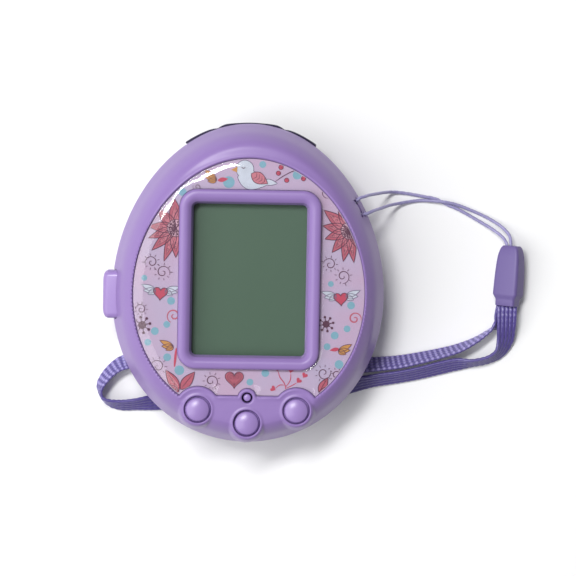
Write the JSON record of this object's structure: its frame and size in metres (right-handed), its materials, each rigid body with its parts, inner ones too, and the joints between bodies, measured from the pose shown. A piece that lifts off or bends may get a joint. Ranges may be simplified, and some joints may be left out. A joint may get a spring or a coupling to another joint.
{
  "type": "virtual pet keychain",
  "caption": "Egg-shaped handheld electronic toy with a framed LCD, printed faceplate, round front buttons, a side button and a wrist strap on a fine loop cord.",
  "frame": {"origin": "centre of the flat on the back that the toy rests on, under the middle of the egg", "axes": "+Z out of the screen, +Y towards the egg's narrow top end, +X to the toy's right as seen from the front"},
  "size_m": [0.0903, 0.0663, 0.0215],
  "materials": {
    "shell_plastic": "lilac moulded plastic, satin gloss",
    "button_plastic": "lilac moulded plastic, slightly glossier than the shell",
    "print_sheet": "pink printed sheet with hearts, wings, flowers and dots",
    "clear_cover": "clear glossy plastic",
    "lcd_glass": "grey-green LCD behind a polariser",
    "dark_plastic": "black moulded plastic",
    "dark_rubber": "striped connector rubber",
    "pad_rubber": "grey silicone",
    "board": "green circuit board",
    "nickel": "nickel-plated strip",
    "cell_steel": "polished cell can",
    "screw_steel": "zinc-plated steel",
    "brass_disc": "brass piezo disc",
    "ir_plastic": "dark plum infrared-passing plastic",
    "led_lens": "clear epoxy lens",
    "cap_plastic": "purple moulded plastic",
    "cord_fibre": "fine braided purple cord",
    "ribbon_weave": "satin woven purple ribbon with lengthwise ribs"
  },
  "bodies": {
    "case": {"front_shell": "shell_plastic", "back_shell": "shell_plastic", "faceplate_print": "print_sheet", "faceplate_cover": "clear_cover", "lcd_window": "clear_cover", "lcd_panel": "lcd_glass", "lcd_frame": "dark_plastic", "zebra_strip": "dark_rubber", "main_board": "board", "chip_blob": "dark_plastic", "crystal": "nickel", "buzzer": "brass_disc", "button_pad": "pad_rubber", "reset_switch": "dark_plastic", "side_switch": "dark_plastic", "ir_window": "ir_plastic", "ir_led": "led_lens", "ir_receiver": "dark_plastic", "contact_positive": "nickel", "contact_negative": "nickel", "battery_cell_1": "cell_steel", "battery_cell_2": "cell_steel", "case_screw_1": "screw_steel", "case_screw_2": "screw_steel", "case_screw_3": "screw_steel", "case_screw_4": "screw_steel", "board_screw_1": "screw_steel", "board_screw_2": "screw_steel", "strap_cap": "cap_plastic", "loop_cord": "cord_fibre", "wrist_ribbon": "ribbon_weave"},
    "left_button": {"button_left": "button_plastic"},
    "middle_button": {"button_middle": "button_plastic"},
    "right_button": {"button_right": "button_plastic"},
    "side_key": {"side_button": "button_plastic"},
    "reset_key": {"reset_pin": "button_plastic"},
    "battery_lid": {"battery_cover": "shell_plastic", "battery_cover_screw": "screw_steel", "contact_bridge": "nickel"}
  },
  "joints": [
    {"name": "left_button_press", "type": "slide", "parent": "case", "child": "left_button", "axis": [0, 0, -1], "range_m": [0, 0.0008], "stiffness_N_per_m": 900, "springref_m": -0.0003},
    {"name": "middle_button_press", "type": "slide", "parent": "case", "child": "middle_button", "axis": [0, 0, -1], "range_m": [0, 0.0008], "stiffness_N_per_m": 900, "springref_m": -0.0003},
    {"name": "right_button_press", "type": "slide", "parent": "case", "child": "right_button", "axis": [0, 0, -1], "range_m": [0, 0.0008], "stiffness_N_per_m": 900, "springref_m": -0.0003},
    {"name": "side_button_press", "type": "slide", "parent": "case", "child": "side_key", "axis": [1, 0, 0], "range_m": [0, 0.0006], "stiffness_N_per_m": 1200, "springref_m": -0.0003},
    {"name": "reset_press", "type": "slide", "parent": "case", "child": "reset_key", "axis": [0, 0, -1], "range_m": [0, 0.0005], "stiffness_N_per_m": 900, "springref_m": -0.0002},
    {"name": "battery_cover_lift", "type": "slide", "parent": "case", "child": "battery_lid", "axis": [0, 0, -1], "range_m": [0, 0.006]}
  ]
}
